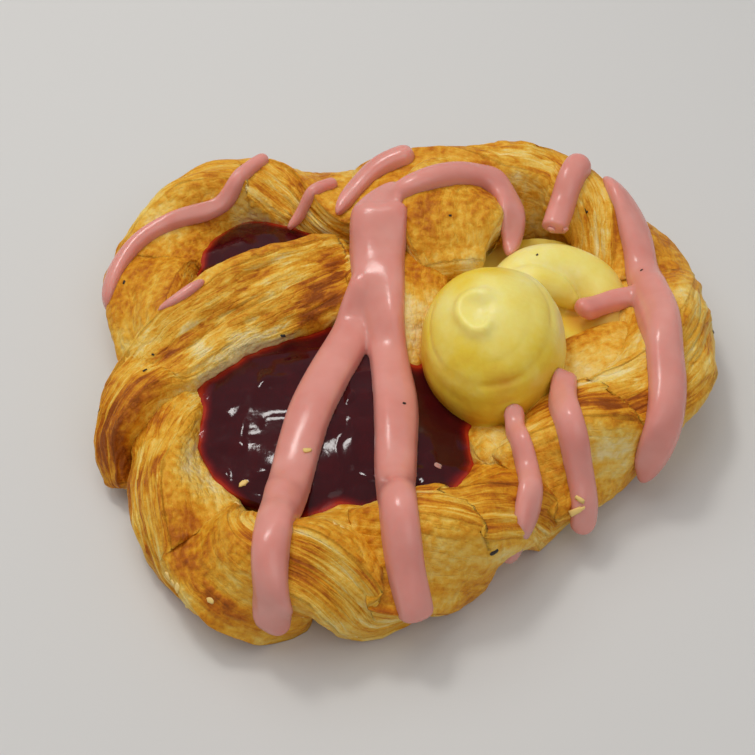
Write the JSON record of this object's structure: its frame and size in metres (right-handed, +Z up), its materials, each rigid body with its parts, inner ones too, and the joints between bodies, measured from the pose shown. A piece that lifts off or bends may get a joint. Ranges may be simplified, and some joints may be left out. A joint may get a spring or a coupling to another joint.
{
  "type": "danish pastry",
  "caption": "Twisted rope of golden laminated dough laid in lobes, with cherry jam and piped custard in its wells and ribbons of pink icing on top.",
  "frame": {"origin": "middle of the base, on the surface that the pastry rests on", "axes": "+X to the right along the longest side, +Y to the back, +Z up"},
  "size_m": [0.1334, 0.123, 0.0331],
  "materials": {
    "crust": "baked laminated dough, browned on its ridges, satin",
    "jam": "wet cherry jam, glossy and clear at its edges",
    "custard": "baked custard with a thin skin, soft sheen",
    "icing": "set pink fondant icing, smooth, soft sheen"
  },
  "bodies": {
    "root": {"crust": "crust", "jam_front": "jam", "jam_back": "jam", "custard": "custard", "icing_front_left": "icing", "icing_top": "icing", "icing_back_short": "icing", "icing_back_long": "icing", "icing_back_patch": "icing", "icing_back_right": "icing", "icing_right": "icing", "icing_right_drop": "icing", "icing_small_drop": "icing"}
  },
  "joints": []
}
